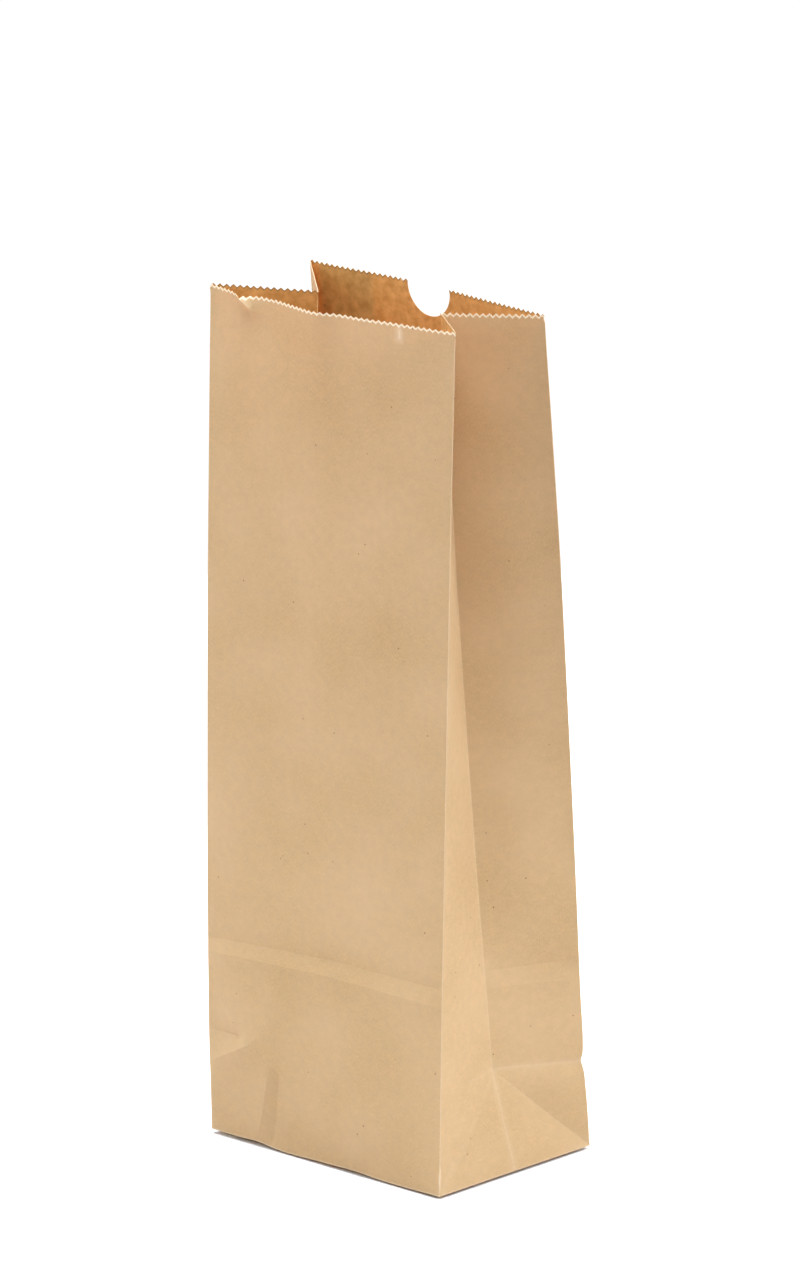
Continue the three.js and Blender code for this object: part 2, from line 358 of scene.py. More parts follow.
# %% [markdown]
# ## Scored lines
# A sharp fold needs a row of edges exactly along it, and a second row close by on each side gives it a
# small round back, as folded paper has. Bisect cuts such a row through the selected faces along a plane.
# The long folds, the base fold, the slanted folds at the foot of each gusset, the slanted folds of the
# bottom flaps and every sharp crease are cut while the sheet is flat, where they are straight lines. A
# small helper selects the faces, by the place of their middles.

# %% Selecting by place


def pick_faces(test):
    """Selects the faces whose middle, as (across, height) in mm, passes the test. Needs edit mode."""
    mesh = bmesh.from_edit_mesh(bag.data)
    chosen = 0
    for face in mesh.faces:
        middle = face.calc_center_median()
        face.select_set(bool(test(middle.x / MM, middle.z / MM)))
        chosen += face.select
    mesh.select_flush_mode()
    bmesh.update_edit_mesh(bag.data)
    return chosen


# %% Score
FOLD_ROUND = 0.4
LOW, HIGH = -FLAP - 2, HEIGHT + 2  # a little beyond the sheet's ends
SCORE_REACH = 2 * CELL  # how far from its line a cut looks for faces
CUT_SNAP = 1e-6  # metres: a point this close to a cut belongs to it
CREASE_OVERRUN = 0.5  # how far beyond its ends a crease is scored


def score(start, end, overrun=1.0, within=None):
    """Cuts a row of edges from start to end, both (across, up), through the faces near that line."""
    start, end = Vector((start[0], 0, start[1])), Vector((end[0], 0, end[1]))
    along = (end - start).normalized()
    side = Vector((-along.z, 0, along.x))

    def near(x, z):
        place = Vector((x, 0, z)) - start
        if within is not None and not within(x, z):
            return False
        beside = -overrun <= place.dot(along) <= (end - start).length + overrun
        return beside and abs(place.dot(side)) < SCORE_REACH

    if pick_faces(near):
        bpy.ops.mesh.bisect(plane_co=start * MM, plane_no=side, threshold=CUT_SNAP)


def score_fold(start, end, **limits):
    """Three rows: the fold's own line, and one on each side of it."""
    (x0, z0), (x1, z1) = start, end
    length = math.hypot(x1 - x0, z1 - z0)
    for away in (-FOLD_ROUND, 0, FOLD_ROUND):
        dx, dz = -(z1 - z0) / length * away, (x1 - x0) / length * away
        score((x0 + dx, z0 + dz), (x1 + dx, z1 + dz), **limits)


bpy.ops.mesh.select_mode(type="FACE")
for fold in FOLDS:
    score_fold((fold, LOW), (fold, HIGH))
score_fold((0, 0), (SHEET, 0))
for away in (-2 * FOLD_ROUND, 2 * FOLD_ROUND):
    score((0, away), (SHEET, away))
print("long folds and base fold:", len(bmesh.from_edit_mesh(bag.data).faces), "faces")

# %% Slanted folds
for crease in CREASES_OF_GUSSETS:
    for corner in (crease - HALF, crease + HALF):
        score_fold((corner, 0), (crease, HALF))
corners = {START["front"]: 1, START["right_front"]: -1, START["back"]: 1, START["left_back"]: -1}
corners[START["back"] + WIDTH] = -1  # the same fold as the one before it, on the layer under the lap
for corner, inward in corners.items():
    tip = (corner + inward * FLAP, -FLAP)
    score((corner, 0), tip, within=lambda x, z: (x - corner) * inward > 0 and z < 0)
for start, end, wear in creases_on_sheet():
    score_fold(start, end, overrun=CREASE_OVERRUN)
print("with slanted folds and creases:", len(bmesh.from_edit_mesh(bag.data).faces), "faces")

# %% [markdown]
# ## The thumb cut
# The back edge has a round bite in its middle, which makes the bag easy to open. A round cut on a grid is
# made as a craftsman trims a disc from a board, with one straight cut after another along its edge. Each
# bisect cuts only what is left inside, and what lies outside is let go.

# %% Thumb cut
THUMB_RADIUS = 11
THUMB_DROP = 1.5  # how far its centre lies below the edge
THUMB_ASIDE = 1.9  # the blade of this bag's machine sits a little off the middle
TRIMS = 30
TRIMS_FROM, TRIMS_OVER = 166, 208  # degrees: the lower half of the circle and a little more
FLAT_WITHIN = 1  # degrees
thumb = Vector((START["back"] + WIDTH / 2 + THUMB_ASIDE, 0, HEIGHT - THUMB_DROP))
turns = [math.radians(TRIMS_FROM + TRIMS_OVER * i / (TRIMS - 1)) for i in range(TRIMS)]
trims = [Vector((math.cos(turn), 0, math.sin(turn))) for turn in turns]


def within_trims(x, z, count):
    away = Vector((x, 0, z)) - thumb
    near = away.length < THUMB_RADIUS + SCORE_REACH
    return near and all(away.dot(trim) < THUMB_RADIUS for trim in trims[:count])


for count, trim in enumerate(trims):
    pick_faces(lambda x, z: within_trims(x, z, count))
    place = (thumb + trim * THUMB_RADIUS) * MM
    bpy.ops.mesh.bisect(plane_co=place, plane_no=trim, threshold=CUT_SNAP)
removed = pick_faces(lambda x, z: within_trims(x, z, TRIMS))
bpy.ops.mesh.delete(type="FACE")
# The trims also drew lines beside the cut. The paper is flat there, so they can be dissolved again.
pick_faces(lambda x, z: (Vector((x, 0, z)) - thumb).length < THUMB_RADIUS + CELL)
bpy.ops.mesh.dissolve_limited(angle_limit=math.radians(FLAT_WITHIN))
print("thumb cut took", removed, "faces")

# %% [markdown]
# ## The torn rim
# Torn kraft paper shows a thin pale line of loose fibres along the tear, because the outer skin comes
# away there. The thin edge also catches the light, and that is painted into the same pale line as a
# painted highlight. An inset round the whole sheet makes a narrow ring of faces along its edges, and a
# painted value, 1 on the very edge and 0 on the ring's inner side, marks it. On the inner skin the ring
# is painted dark brown. The thumb cut is punched and the long edges are slit, both cleanly, so they
# stay at 0.

# %% Torn rim
RIM = 0.9
PUNCH_SLACK = 0.3  # how far beyond the thumb cut's radius a point still belongs to its edge
bpy.ops.mesh.select_all(action="SELECT")
bpy.ops.mesh.inset(thickness=RIM * MM, use_boundary=True, use_even_offset=True)
mesh = bmesh.from_edit_mesh(bag.data)
torn = mesh.verts.layers.float.new("torn")
for vert in mesh.verts:
    slit = min(vert.co.x, SHEET * MM - vert.co.x) < NEAR * MM
    punched = (vert.co / MM - thumb).length < THUMB_RADIUS + PUNCH_SLACK
    vert[torn] = float(vert.is_boundary and not slit and not punched)
bmesh.update_edit_mesh(bag.data)
bpy.ops.object.mode_set(mode="OBJECT")
print("rim added:", len(bag.data.polygons), "faces")

# %% [markdown]
# ## Where the folds run
# Opened and stood up, the bag's six long folds fan out from its base. Each is given by its foot and by the
# place over the table where it ends at the mouth. Its length is the paper's, so its height follows from
# how far it leans. The folds also bow a little, and a short list of bends says by how much.

# %% Folds
CREASE_INSET = 11.3  # how far in from the side a gusset's crease leaves its foot
APEX = math.sqrt(HALF**2 - CREASE_INSET**2)  # and how high, since HALF of paper leads there
FEET = {
    "front_left": (-WIDTH / 2, -HALF, 0),
    "front_right": (WIDTH / 2, -HALF, 0),
    "right_crease": (WIDTH / 2 - CREASE_INSET, 0, APEX),
    "back_right": (WIDTH / 2, HALF, 0),
    "back_left": (-WIDTH / 2, HALF, 0),
    "left_crease": (CREASE_INSET - WIDTH / 2, 0, APEX),
}
MOUTH = {
    "front_left": (-61.8, -27.6),
    "front_right": (57.5, -20),
    "right_crease": (28.3, 1.7),
    "back_right": (61.8, 22.2),
    "back_left": (-59.6, 22.1),
    "left_crease": (-29, -4),
}
SAG = {"back_right": 1.2}  # a fold crushed at its foot stands this much lower
# How far a fold stands out of its straight line, at heights up the paper, and in which direction.
BENDS = {
    "front_left": (
        (-0.7, -0.7),
        [(0, 0), (20, 0.5), (40, 1.1), (60, 1.3), (200, 1.3), (300, 0.3), (326, 0)],
    ),
    "front_right": ((-0.7, -0.5), [(0, 0), (60, 0.3), (160, 0.4), (260, 0.3), (326, 0)]),
    "right_crease": ((-1, 0), [(40, 0), (110, 1.2), (220, 1.4), (326, 0)]),
    "back_right": (
        (0.6, 0.6),
        [
            (0, 0), (24, -0.3), (31, -0.7), (35, -1.6), (38, -0.7), (42, -0.4), (60, -0.3), (110, 0.4),
            (170, 0.9), (235, 1.1), (280, 0.6), (326, 0),
        ],
    ),
    "back_left": ((0, 1), [(0, 0), (35, -0.8), (80, 0.3), (200, 0.8), (326, 0)]),
    "left_crease": ((1, 0), [(40, 0), (130, 1.5), (240, 1.0), (326, 0)]),
}
SIDES_OF_STRIP = {
    "back_lap": ("back_right", "back_left"),
    "left_back": ("back_left", "left_crease"),
    "left_front": ("left_crease", "front_left"),
    "front": ("front_left", "front_right"),
    "right_front": ("front_right", "right_crease"),
    "right_back": ("right_crease", "back_right"),
    "back": ("back_right", "back_left"),
}


def curve(x, points):
    """A smooth curve through a few (x, value) points, level beyond both ends."""
    px, py = np.array(points, float).T
    slope = np.gradient(py, px)
    slope[[0, -1]] = 0
    i = np.clip(np.searchsorted(px, x) - 1, 0, len(px) - 2)
    step = px[i + 1] - px[i]
    w = np.clip((x - px[i]) / step, 0, 1)
    level = (1 + 2 * w) * (1 - w) ** 2 * py[i] + w**2 * (3 - 2 * w) * py[i + 1]
    return level + step * w * (1 - w) * ((1 - w) * slope[i] - w * slope[i + 1])


def ramp(x, start, end):
    """A smooth step from 0 at start to 1 at end."""
    w = np.clip((x - start) / (end - start), 0, 1)
    return w * w * (3 - 2 * w)


def foot_and_head(fold):
    """Where a long fold starts at the base and where it ends at the mouth."""
    foot = np.array(FEET[fold], float)
    length = HEIGHT - (HALF if "crease" in fold else 0)
    lean = np.array(MOUTH[fold]) - foot[:2]
    head = foot + np.array([*lean, math.sqrt(length**2 - lean @ lean) - SAG.get(fold, 0)])
    return foot, head


for fold in FEET:
    print(fold, "stands", round(foot_and_head(fold)[1][2], 1), "mm high at the mouth")

# %% [markdown]
# ## The bottom
# Below the base fold, each wide panel folds in as a flap, with its corners folded back over it along the
# slanted lines, and each gusset folds in as a tuck. So the plies lie over each other: front flap, back
# flap, folded corners, tucks. Only the middle of the bottom touches the table, because the folded edges
# spring up a little, the front left corner most of all.

# %% Bottom plies
ROLL = 0.5  # the base fold's radius
ARC = ROLL * math.pi / 4  # the paper in half of that quarter round
FOLD_LEVEL = 0.36  # the height at which every ply leaves the base fold
PLY_RAMP = 3  # how much paper a ply takes to go from one level to the next
FRONT_REACH = 30  # how far from the front edge the front's own lift is felt
# How high the middle of each ply lies. The back needs room for two layers, at its lap.
LEVELS = {"front": 0.07, "back": 0.27, "corner": 0.54, "tuck": 0.74}
SPRING_REACH = 12  # how far in from the bottom's edge it stands off the table
# How far the bottom edge stands off the table: along the front, from left to right, and elsewhere.
FRONT_LIFT = [(0, 1.3), (14, 1.2), (27, 1.35), (31, 0.85), (60, 0.75), (80, 0.9), (84, 0.65), (120, 0.65)]
SIDE_LIFT = 0.7


def lift(x, y):
    """How far the bottom stands off the table at a place."""
    to_front, to_back = y + HALF, HALF - y
    to_side = WIDTH / 2 - np.abs(x)
    nearest = np.minimum(np.minimum(to_front, to_back), to_side)
    front_share = 1 - ramp(to_front, 0, FRONT_REACH)
    edge = SIDE_LIFT + (curve(x + WIDTH / 2, FRONT_LIFT) - SIDE_LIFT) * front_share
    return edge * (1 - ramp(nearest, 0, SPRING_REACH))


def place_flap(u, depth, level, toward):
    """A wide panel's flap. u runs along the base fold, depth into the bottom; toward is +1 at the front."""
    from_end = np.minimum(u, WIDTH - u)
    side = np.where(u < WIDTH / 2, -1, 1)
    folded_back = from_end < depth
    x = np.where(folded_back, side * (WIDTH / 2 - depth), u - WIDTH / 2)
    y = np.where(folded_back, -HALF + from_end, -HALF + depth)
    past_fold = np.maximum(depth - from_end, 0)
    z = FOLD_LEVEL + (level - FOLD_LEVEL) * ramp(depth, ROLL, ROLL + PLY_RAMP)
    z = z + (LEVELS["corner"] - z) * ramp(past_fold, 0, PLY_RAMP)
    return np.stack([x * toward, y * toward, z], axis=1)


def place_tuck(v, depth, side):
    """A gusset's tuck. v runs from the front fold to the back fold."""
    near_fold = np.minimum(v, DEPTH - v)
    level = LEVELS["corner"] + (LEVELS["tuck"] - LEVELS["corner"]) * ramp(near_fold, 0, PLY_RAMP)
    z = FOLD_LEVEL + (level - FOLD_LEVEL) * ramp(depth, ROLL, ROLL + PLY_RAMP)
    return np.stack([side * (WIDTH / 2 - depth), -HALF + v, z], axis=1)


print("bottom is", LEVELS["tuck"] + PAPER / 2, "mm thick")

# %% [markdown]
# ## The mouth
# The wide panels bow outwards at the mouth, and a free edge takes its own line: a curve through a few
# points gives it, and it fades into the panel's wide bow further down. Where a hand pulled the bag open,
# the front's edge is pinched out into a small lip along a short slanted line.

# %% Mouth shapes
BOW_REACH, BOW_FADE = 28, 1.5  # how far down the edge's own line is felt, and how abruptly it fades
# How far the cut edge stands out of the straight line between its corners, across each wide panel.
FRONT_EDGE = [
    (0, 0), (10, 1.7), (18, 3.0), (25, 3.3), (34, 3.7), (48, 6.2), (59, 7.9), (68, 5.2), (80, 4.3),
    (96, 2.2), (107, 1.4), (120, 0),
]
BACK_EDGE = [(0, 0), (16, 0.6), (35, 1.6), (51, 2.6), (62, 3.1), (73, 3.3), (91, 2.1), (108, 0.5), (120, 0)]
FRONT_BOW, BACK_BOW = 5, 4  # how far the middle of each wide panel stands out, on its way to the mouth
PINCH_LINE = ((19.5, 326), (23.5, 322))
PINCH_OUT, PINCH_DOWN = 3.3, 6
PINCH_LEFT, PINCH_RIGHT = 4.5, 2.6  # how fast it falls off on each side of its line
PINCH_SLOPE = 3  # it comes out this many times as far as down


def bow(u, h, amount, edge):
    """How far a wide panel stands out at (u, h): a wide bow, and near the mouth the edge's own line."""
    arch = amount * np.sin(np.pi * u / WIDTH)
    near_mouth = np.exp(-((np.maximum(HEIGHT - h, 0) / BOW_REACH) ** BOW_FADE))
    return arch * (h / HEIGHT) ** 2 + (curve(u, edge) - arch) * near_mouth


def pinch(u, h):
    """How far the pinched lip stands out at (u, h)."""
    (top, _), (low, low_h) = PINCH_LINE
    aside = u - top - (low - top) * (HEIGHT - h) / (HEIGHT - low_h)
    fall = np.where(aside < 0, -aside / PINCH_LEFT, aside / PINCH_RIGHT)
    return PINCH_OUT * np.exp(-fall) * np.exp(-(((HEIGHT - h) / PINCH_DOWN) ** 2))


# %% [markdown]
# ## Folding the sheet up
# A hand would fold the sheet along its scored lines, and the paper between them would stay almost flat.
# So each strip is spread between its two long folds, each gusset's foot is its upright triangle, and what
# lies below the base fold goes to its ply of the bottom. The sheet's points are moved in one go, because
# turning the strips one by one would tear them apart along folds that lean and bend.

# %% Places of the walls


def gusset_foot(side, across_gusset, h):
    """The upright triangle at the foot of a gusset. across_gusset runs from the front fold to the back."""
    share = np.clip(h, 0, HALF) / HALF
    x = side * (WIDTH / 2 - CREASE_INSET * share)
    return np.stack([x, across_gusset - HALF, APEX * share], axis=1)


def place_wall(u, h, left, right, low):
    """A strip between two long folds. low is how far up the paper the strip's foot is at u."""
    across = u / (WIDTH if "crease" not in left + right else HALF)
    (foot_a, head_a), (foot_b, head_b) = foot_and_head(left), foot_and_head(right)
    w = across[:, None]
    foot = foot_a + (foot_b - foot_a) * w
    head = head_a + (head_b - head_a) * w
    points = foot + (head - foot) * ((h - low) / (HEIGHT - low))[:, None]
    for fold, share in ((left, 1 - across), (right, across)):
        (dx, dy), bends = BENDS[fold]
        points[:, 0] += dx * curve(h, bends) * share
        points[:, 1] += dy * curve(h, bends) * share
    return points


def place_wide_panel(name, u, h, depth):
    """Where a wide panel's points go: as wall, h up the paper, and as bottom, depth into it."""
    left, right = SIDES_OF_STRIP[name]
    toward = 1 if name == "front" else -1
    points = place_wall(u, h, left, right, np.zeros_like(u))
    amount, edge = (FRONT_BOW, FRONT_EDGE) if name == "front" else (BACK_BOW, BACK_EDGE)
    points[:, 1] -= toward * bow(u, h, amount, edge)
    if name == "front":
        points[:, 1] -= pinch(u, h)
        points[:, 2] -= pinch(u, h) / PINCH_SLOPE
    return points, place_flap(u, depth, LEVELS["front" if name == "front" else "back"], toward)


def place_gusset_half(name, u, h, depth):
    """The same for one half of a gusset, whose wall starts where its foot's triangle ends."""
    left, right = SIDES_OF_STRIP[name]
    side = 1 if name.startswith("right") else -1
    from_corner = u if "crease" in right else HALF - u
    across_gusset = from_corner if name.endswith("front") else DEPTH - from_corner
    points = place_wall(u, h, left, right, from_corner)
    foot = gusset_foot(side, across_gusset, h)
    points = np.where((h < from_corner)[:, None], foot, points)
    return points, place_tuck(across_gusset, depth, side)


print("a gusset's foot is", round(APEX, 1), "mm high")

# %% Folding the sheet up
FOLD_FADE = 12  # the walls start at the base fold's level, and this far up nothing of that is left
LIFT_FADE = 60  # the same for the lift of the bottom edge
SAME = 0.001  # a point this far beyond a strip still belongs to it


def place_strip(name, u, h):
    """Where a strip's points go, u across it and h up the sheet, round the base fold's quarter round."""
    is_gusset = "_" in name and name != "back_lap"
    turn = np.clip((ARC - h) / (2 * ARC), 0, 1) * np.pi / 2
    up = np.where(h > ARC, h - ARC + ROLL, ROLL - ROLL * np.sin(turn))
    inward = np.where(h < -ARC, -h - ARC + ROLL, ROLL - ROLL * np.cos(turn))
    place = place_gusset_half if is_gusset else place_wide_panel
    points, under = place(name, u, up, np.where(h < -ARC, inward, ROLL))
    aside = np.where(h < -ARC, 0, inward)
    if is_gusset:
        points[:, 0] -= aside * (1 if name.startswith("right") else -1)
    else:
        points[:, 1] += aside * (1 if name == "front" else -1)
    points[:, 2] += FOLD_LEVEL * (1 - ramp(h, 0, FOLD_FADE))
    points = np.where((h < -ARC)[:, None], under, points)
    points[:, 2] += lift(points[:, 0], points[:, 1]) * (1 - ramp(h, 0, LIFT_FADE))
    return points


def on_strip(start, width):
    return (across_sheet > start - SAME) & (across_sheet < start + width + SAME)


def read_vectors(items, name):
    values = np.empty(len(items) * 3)
    items.foreach_get(name, values)
    return values.reshape(-1, 3)


def write_points(places):
    bag.data.vertices.foreach_set("co", (places * MM).ravel())
    bag.data.update()


flat = read_vectors(bag.data.vertices, "co") / MM
across_sheet, up_sheet = flat[:, 0], flat[:, 2]
points = np.zeros_like(flat)
for name, start, width, offset in STRIPS:
    here = on_strip(start, width)
    points[here] = place_strip(name, across_sheet[here] - start + offset, up_sheet[here])
write_points(points)
print("folded up:", points.min(0).round(1), points.max(0).round(1), "finite:", np.isfinite(points).all())

# %% [markdown]
# ## Pressing the creases in
# Each point now moves a little along its own normal, out or in, by the sum of the creases and waves near
# it. A sharp crease is a ridge with almost straight slopes, as stiff paper makes. A soft wave is a bell.
# Close to a long fold everything fades, because a fold is too stiff to follow a dent beside it.

# %% Ridges and waves
RIDGE_CURVE = 1.4  # over 1, so the slopes are steepest at the line
RIDGE_END = 4  # how far a ridge runs on beyond each end of its line


def along_and_aside(u, h, start, end):
    """How far along the line from start to end each place is, its distance to the left, and the length."""
    (u0, h0), (u1, h1) = start, end
    length = math.hypot(u1 - u0, h1 - h0)
    du, dh = (u1 - u0) / length, (h1 - h0) / length
    return (u - u0) * du + (h - h0) * dh, (h - h0) * du - (u - u0) * dh, length


def ridge(u, h, start, end, out, left, right):
    """The height at (u, h) of a sharp crease, whose slopes end at left and right of its line."""
    along, aside, length = along_and_aside(u, h, start, end)
    slope = np.where(aside > 0, aside / left, -aside / right)
    beyond = np.maximum(np.maximum(-along, along - length), 0)
    return out * np.clip(1 - slope, 0, 1) ** RIDGE_CURVE * np.clip(1 - beyond / RIDGE_END, 0, 1)


def wave(u, h, start, end, out, half_width):
    """The height at (u, h) of a soft wave along its line."""
    along, aside, length = along_and_aside(u, h, start, end)
    begun = ramp(along, -half_width, half_width)
    ended = ramp(along, length - half_width, length + half_width)
    return out * np.exp(-((aside / half_width) ** 2)) * (begun * (1 - ended))


halfway = ridge(0.5, 0.5, (0, 0), (0, 1), 1, 1, 1)
print("halfway down its slope a crease keeps", halfway.round(2), "of its height")

# %% Creases pressed in
DAMP_WAVES = [(0.45, 34, Vector((0, 0, 0))), (0.15, 13, Vector((7, 3, 0)))]  # height, size, shift
STIFF_FOLD, STIFF_BASE = 5, 4  # this near a long fold, or the base fold, a dent starts to fade


def undulation(t, h):
    """The faint waviness that damp puts into any sheet."""
    place = Vector((t, h, 0))
    return sum(height * noise.noise(place / size + shift) for height, size, shift in DAMP_WAVES)


pressed = np.zeros(len(flat))
for name, start, width, offset in STRIPS:
    here = on_strip(start, width)
    u, h = across_sheet[here] - start + offset, up_sheet[here]
    full = WIDTH if name in ("front", "back", "back_lap") else HALF
    from_fold = np.minimum(u, full - u)
    own = np.array([undulation(t, z) for t, z in zip(across_sheet[here], h)])
    panel = "back" if name == "back_lap" else name
    for strip, first, last, height, left, right, wear in SHARP:
        if strip == panel:
            own += ridge(u, h, first, last, height, left, right)
    for strip, first, last, height, half_width in SOFT:
        if strip == panel:
            own += wave(u, h, first, last, height, half_width)
    pressed[here] = own * ramp(from_fold, 0, STIFF_FOLD) * ramp(h, 0, STIFF_BASE)
print("points pressed by over 0.5 mm:", int((np.abs(pressed) > 0.5).sum()))

# %% [markdown]
# ## The glued lap
# The tube is closed by a lap glued over the panel's own edge. Both lie on the same fold lines, so each
# moves along its normals, the lap out and the edge in, by half a paper and half a film of glue. That isn't
# enough everywhere: the faint waviness above is taken at each layer's own place on the sheet, so the two
# don't wave alike and cut through each other in places. Taken at the back's place on both, it would cure it.

# %% The glued lap
GLUE = 0.01
STEP = (PAPER + GLUE) / 2
STEP_LEAD = 1  # the lap starts to come in again this far before the edge under it ends
STEP_RAMP = 5  # the paper under it goes in over this much, just before the lap's own edge
pressed += STEP * (1 - ramp(across_sheet, LAP - STEP_LEAD, LAP + LAP_INSET))
pressed -= STEP * ramp(across_sheet, SHEET - LAP - STEP_RAMP, SHEET - LAP)
normals = read_vectors(bag.data.vertex_normals, "vector")
points += normals * pressed[:, None]
write_points(points)
print("creases stand out", pressed.max().round(2), "and in", pressed.min().round(2), "mm")

# %% [markdown]
# ## Softer folds
# Paper can't bend at a sharp corner. Smooth, on the long folds' own points, rounds them a little. The
# front slanted fold of the right gusset has sprung almost flat again: its points are smoothed many times,
# and what is left of the fold is a low swell beside it.

# %% Round the folds
ROUNDING = 0.9
ON_LINE = 0.01  # a point this close to a line lies on it
on_fold = np.isclose(across_sheet[:, None], FOLDS, atol=ON_LINE).any(axis=1)
bpy.ops.object.mode_set(mode="EDIT")
bpy.ops.mesh.select_mode(type="VERT")
bpy.ops.mesh.select_all(action="DESELECT")
bpy.ops.object.mode_set(mode="OBJECT")
bag.data.vertices.foreach_set("select", on_fold)
bpy.ops.object.mode_set(mode="EDIT")
bpy.ops.mesh.vertices_smooth(factor=ROUNDING)
bpy.ops.object.mode_set(mode="OBJECT")
print(on_fold.sum(), "points rounded")

# %% Soften the front slanted fold
SPRUNG_REACH = 7  # how far to each side of the fold the paper has sprung back
SPRUNG_FROM, SPRUNG_SHARE = 2, 0.72  # from where on the fold, and over which share of its length
SPRUNG_ABOVE = 1  # the base fold keeps its shape up to here
SPRING, SPRING_REPEATS = 0.5, 14
SWELL = ((37, 39), (12, 17), 1.7, 5)  # start, end, how far out, half width, on the gusset's front half
SWELL_RAMP, SWELL_LEVEL = 3, 5  # how far from the gusset's crease and from the base it is in full
crease = START["right_back"]
along, aside, length = along_and_aside(across_sheet, up_sheet, (crease - HALF, 0), (crease, HALF))
soft = (np.abs(aside) < SPRUNG_REACH) & (along > SPRUNG_FROM) & (along < SPRUNG_SHARE * length)
soft = soft & ~on_fold & (up_sheet > SPRUNG_ABOVE)
bag.data.vertices.foreach_set("select", soft)
bpy.ops.object.mode_set(mode="EDIT")
bpy.ops.mesh.vertices_smooth(factor=SPRING, repeat=SPRING_REPEATS)
bpy.ops.object.mode_set(mode="OBJECT")
points = read_vectors(bag.data.vertices, "co") / MM
swell = wave(across_sheet - crease + HALF, up_sheet, *SWELL) * (across_sheet < crease)
swell_share = ramp(crease - across_sheet, 0, SWELL_RAMP) * ramp(up_sheet, SPRUNG_ABOVE, SWELL_LEVEL)
points += normals * (swell * swell_share)[:, None]
write_points(points)
print(soft.sum(), "points softened, swell of", swell.max().round(2), "mm")

# %% [markdown]
# ## Wear along the folds
# Folding cracks the paper's skin and its fibres show pale there. A value painted on the points says how
# worn the paper is: most along a long fold, less along the creases, and 0 between them.

# %% Wear
WEAR_REACH = 0.9
FOLD_WEAR, CREASE_WEAR, BASE_WEAR, SLANT_WEAR, LAP_WEAR = 0.8, 0.3, 0.4, 0.08, 0.35
WEAR_END = 1  # how far it runs on beyond each end of a line
on_base = np.abs(up_sheet) < FOLD_ROUND + ON_LINE
on_crease = np.isclose(across_sheet[:, None], CREASES_OF_GUSSETS, atol=ON_LINE).any(axis=1)
worn = np.where(on_fold, np.where(on_crease, CREASE_WEAR, FOLD_WEAR), np.where(on_base, BASE_WEAR, 0.0))
slanted = [((c - HALF, 0), (c, HALF)) for c in CREASES_OF_GUSSETS]
slanted += [((c + HALF, 0), (c, HALF)) for c in CREASES_OF_GUSSETS]
lines = [(*line, SLANT_WEAR) for line in slanted]
lines.append(((0, 0), (0, HEIGHT), LAP_WEAR))  # the lap's free edge
lines.extend(creases_on_sheet())
for first, last, wear in lines:
    along, aside, length = along_and_aside(across_sheet, up_sheet, first, last)
    on_line = (along > -WEAR_END) & (along < length + WEAR_END)
    worn = np.maximum(worn, np.where(on_line, wear * np.clip(1 - np.abs(aside) / WEAR_REACH, 0, 1), 0))
bag.data.attributes.new("worn", "FLOAT", "POINT").data.foreach_set("value", worn)
print("worn points", int((worn > 0).sum()))

# %% [markdown]
# ## Thickness
# The sheet is still a surface with no thickness. Solidify gives it the 0.12 mm of a lunch bag's paper,
# half to each side, and closes it along every cut edge. Shading is smooth but for the sharpest turns.

# %% Thickness
SHARP_TURN = 14  # degrees: what turns by more than this shows as an edge
bpy.ops.object.select_all(action="DESELECT")
bag.select_set(True)
bpy.context.view_layer.objects.active = bag
thick = bag.modifiers.new("paper", "SOLIDIFY")
thick.thickness = PAPER * MM
thick.offset = 0
bpy.ops.object.modifier_apply(modifier="paper")
bpy.ops.object.shade_smooth_by_angle(angle=math.radians(SHARP_TURN))
bag.data.calc_loop_triangles()
print("paper:", len(bag.data.loop_triangles), "triangles")

# %% [markdown]
# ## Two skins
# The bag's inside is painted browner and more orange than its outside. This is painted shade and painted
# orange light: light through paper turns orange, and it is nearly all that reaches the inside. A tear is
# painted pale outside, loose fibres and a painted highlight, and dark brown inside. So the material has
# to know the two skins apart. Solidify moved each point to one side of the sheet, and the sheet's own
# normals tell to which. On the inner skin the torn value turns negative.

# %% Two skins
skins = read_vectors(bag.data.vertices, "co").reshape(2, -1, 3)
away = skins - skins.mean(axis=0)
inside = ((away * normals).sum(axis=2) < 0).ravel()
bag.data.attributes.new("inside", "FLOAT", "POINT").data.foreach_set("value", inside.astype(float))
torn_values = np.empty(len(inside))
bag.data.attributes["torn"].data.foreach_get("value", torn_values)
bag.data.attributes["torn"].data.foreach_set("value", np.where(inside, -torn_values, torn_values))
print("inner skin:", int(inside.sum()), "points of", len(inside))

# %% [markdown]
# ## Unbleached kraft paper
# Kraft paper is pressed from long brown wood fibres. Seen close, its skin is a little cloudy, with fine
# fibres lying mostly one way and a few dark specks of bark. It is matt. Light also comes through it, and
# turns a strong orange on the way, in clouds where the fibres lie thicker and thinner. So its shader is a
# mix of a rough surface and a translucent one. Every pattern is noise with a size in millimetres, read
# from the sheet's own UV map, so it follows the folds.

# %% Paper pattern
KRAFT_LIGHT = linear("d9bc8d")
KRAFT_DARK = linear("bfa069")
# the inner skin's colours are painted shade and painted orange light, for the light through the paper
INSIDE_PAINTED_GLOW_LIGHT = linear("e4bc72")
INSIDE_PAINTED_GLOW_DARK = linear("caa058")
FIBRE_PALE = linear("f4e3bd")
# pale torn fibres, with a painted highlight of the light the thin edge catches
TORN_FIBRES_AND_HIGHLIGHT = linear("fff0cf")
